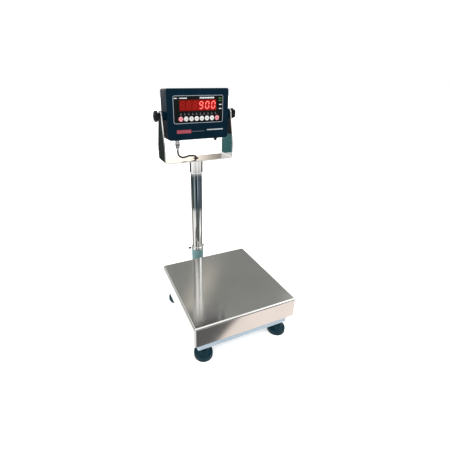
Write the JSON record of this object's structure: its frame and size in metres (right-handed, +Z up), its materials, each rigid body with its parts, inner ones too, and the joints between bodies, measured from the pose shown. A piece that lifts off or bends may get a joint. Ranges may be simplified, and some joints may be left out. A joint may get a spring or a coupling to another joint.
{
  "type": "bench scale",
  "caption": "Bench scale: square stainless platform on levelling feet, rear column, and a tilting indicator with red digits and round keys in a U-shaped yoke.",
  "frame": {"origin": "centre of the bounding box at floor level", "axes": "+Z up, -Y towards the user who reads the display, +X to the user's right"},
  "size_m": [0.305, 0.4144, 0.6725],
  "materials": {
    "stainless": "brushed",
    "frame_steel": "satin, bluish",
    "polished_steel": "polished",
    "aluminium": "satin",
    "zinc_steel": "zinc plated",
    "housing_plastic": "fine texture",
    "overlay": "smooth film",
    "red_window": "clear red",
    "module_plastic": "matte",
    "circuit_board": "solder mask",
    "key_white": "smooth",
    "key_red": "smooth",
    "black_plastic": "moulded",
    "rubber": "matte",
    "cable_jacket": "smooth"
  },
  "bodies": {
    "base": {"base_frame": "frame_steel", "cross_channel": "frame_steel", "column_bracket": "frame_steel", "bracket_bolt_left": "zinc_steel", "bracket_bolt_right": "zinc_steel", "load_cell": "aluminium", "lower_spacer": "aluminium", "upper_spacer": "aluminium", "platter_support": "stainless", "pan_pad_front_left": "rubber", "pan_pad_front_right": "rubber", "pan_pad_rear_left": "rubber", "pan_pad_rear_right": "rubber", "foot_nut_front_left": "zinc_steel", "foot_nut_front_right": "zinc_steel", "foot_nut_rear_left": "zinc_steel", "foot_nut_rear_right": "zinc_steel", "clamp_ring": "zinc_steel", "column_cable": "cable_jacket"},
    "pan": {"weighing_pan": "stainless"},
    "column": {"column_tube": "polished_steel", "top_sleeve": "polished_steel", "yoke": "polished_steel", "cable_grommet": "rubber", "friction_washer_left": "rubber", "friction_washer_right": "rubber", "indicator_cable": "cable_jacket"},
    "indicator": {"front_housing": "housing_plastic", "housing_gasket": "rubber", "rear_cover": "housing_plastic", "overlay_panel": "overlay", "display_lens": "red_window", "led_module": "module_plastic", "display_board": "circuit_board", "main_board": "circuit_board", "cable_connector": "zinc_steel", "power_gland": "black_plastic"},
    "knob_left_body": {"knob_left": "black_plastic", "knob_stud_left": "zinc_steel"},
    "knob_right_body": {"knob_right": "black_plastic", "knob_stud_right": "zinc_steel"},
    "thumbscrew": {"thumbscrew_shank": "zinc_steel", "thumbscrew_ball": "black_plastic"},
    "key_1_body": {"key_1": "key_red"},
    "key_2_body": {"key_2": "key_white"},
    "key_3_body": {"key_3": "key_white"},
    "key_4_body": {"key_4": "key_white"},
    "key_5_body": {"key_5": "key_white"},
    "key_6_body": {"key_6": "key_white"},
    "key_7_body": {"key_7": "key_white"},
    "key_8_body": {"key_8": "key_red"},
    "foot_front_left": {"foot_pad_front_left": "rubber", "foot_stud_front_left": "zinc_steel"},
    "foot_front_right": {"foot_pad_front_right": "rubber", "foot_stud_front_right": "zinc_steel"},
    "foot_rear_left": {"foot_pad_rear_left": "rubber", "foot_stud_rear_left": "zinc_steel"},
    "foot_rear_right": {"foot_pad_rear_right": "rubber", "foot_stud_rear_right": "zinc_steel"}
  },
  "joints": [
    {"name": "pan_lift", "type": "slide", "parent": "base", "child": "pan", "axis": [0, 0, 1], "range_m": [0, 0.065]},
    {"name": "column_swivel", "type": "hinge", "parent": "base", "child": "column", "pos_m": [0, 0.16825, 0.126], "axis": [0, 0, 1], "range_deg": [-90, 90]},
    {"name": "indicator_tilt", "type": "hinge", "parent": "column", "child": "indicator", "pos_m": [0, 0.16225, 0.598], "axis": [1, 0, 0], "range_deg": [-30, 25], "deforming": ["indicator_cable"]},
    {"name": "knob_left_turn", "type": "hinge", "parent": "indicator", "child": "knob_left_body", "pos_m": [-0.1143, 0.16225, 0.598], "axis": [-1, 0, 0], "continuous": true},
    {"name": "knob_right_turn", "type": "hinge", "parent": "indicator", "child": "knob_right_body", "pos_m": [0.1143, 0.16225, 0.598], "axis": [1, 0, 0], "continuous": true},
    {"name": "thumbscrew_turn", "type": "hinge", "parent": "base", "child": "thumbscrew", "pos_m": [-0.0305, 0.16825, 0.13155], "axis": [-1, 0, 0], "continuous": true},
    {"name": "key_1_press", "type": "slide", "parent": "indicator", "child": "key_1_body", "axis": [0, 1, 0], "range_m": [0, 0.0012], "stiffness_N_per_m": 900, "springref_m": -0.0004},
    {"name": "key_2_press", "type": "slide", "parent": "indicator", "child": "key_2_body", "axis": [0, 1, 0], "range_m": [0, 0.0012], "stiffness_N_per_m": 900, "springref_m": -0.0004},
    {"name": "key_3_press", "type": "slide", "parent": "indicator", "child": "key_3_body", "axis": [0, 1, 0], "range_m": [0, 0.0012], "stiffness_N_per_m": 900, "springref_m": -0.0004},
    {"name": "key_4_press", "type": "slide", "parent": "indicator", "child": "key_4_body", "axis": [0, 1, 0], "range_m": [0, 0.0012], "stiffness_N_per_m": 900, "springref_m": -0.0004},
    {"name": "key_5_press", "type": "slide", "parent": "indicator", "child": "key_5_body", "axis": [0, 1, 0], "range_m": [0, 0.0012], "stiffness_N_per_m": 900, "springref_m": -0.0004},
    {"name": "key_6_press", "type": "slide", "parent": "indicator", "child": "key_6_body", "axis": [0, 1, 0], "range_m": [0, 0.0012], "stiffness_N_per_m": 900, "springref_m": -0.0004},
    {"name": "key_7_press", "type": "slide", "parent": "indicator", "child": "key_7_body", "axis": [0, 1, 0], "range_m": [0, 0.0012], "stiffness_N_per_m": 900, "springref_m": -0.0004},
    {"name": "key_8_press", "type": "slide", "parent": "indicator", "child": "key_8_body", "axis": [0, 1, 0], "range_m": [0, 0.0012], "stiffness_N_per_m": 900, "springref_m": -0.0004},
    {"name": "foot_front_left_turn", "type": "hinge", "parent": "base", "child": "foot_front_left", "pos_m": [-0.1185, -0.17825, 0], "axis": [0, 0, 1], "continuous": true},
    {"name": "foot_front_right_turn", "type": "hinge", "parent": "base", "child": "foot_front_right", "pos_m": [0.1185, -0.17825, 0], "axis": [0, 0, 1], "continuous": true},
    {"name": "foot_rear_left_turn", "type": "hinge", "parent": "base", "child": "foot_rear_left", "pos_m": [-0.1185, 0.06875, 0], "axis": [0, 0, 1], "continuous": true},
    {"name": "foot_rear_right_turn", "type": "hinge", "parent": "base", "child": "foot_rear_right", "pos_m": [0.1185, 0.06875, 0], "axis": [0, 0, 1], "continuous": true}
  ]
}
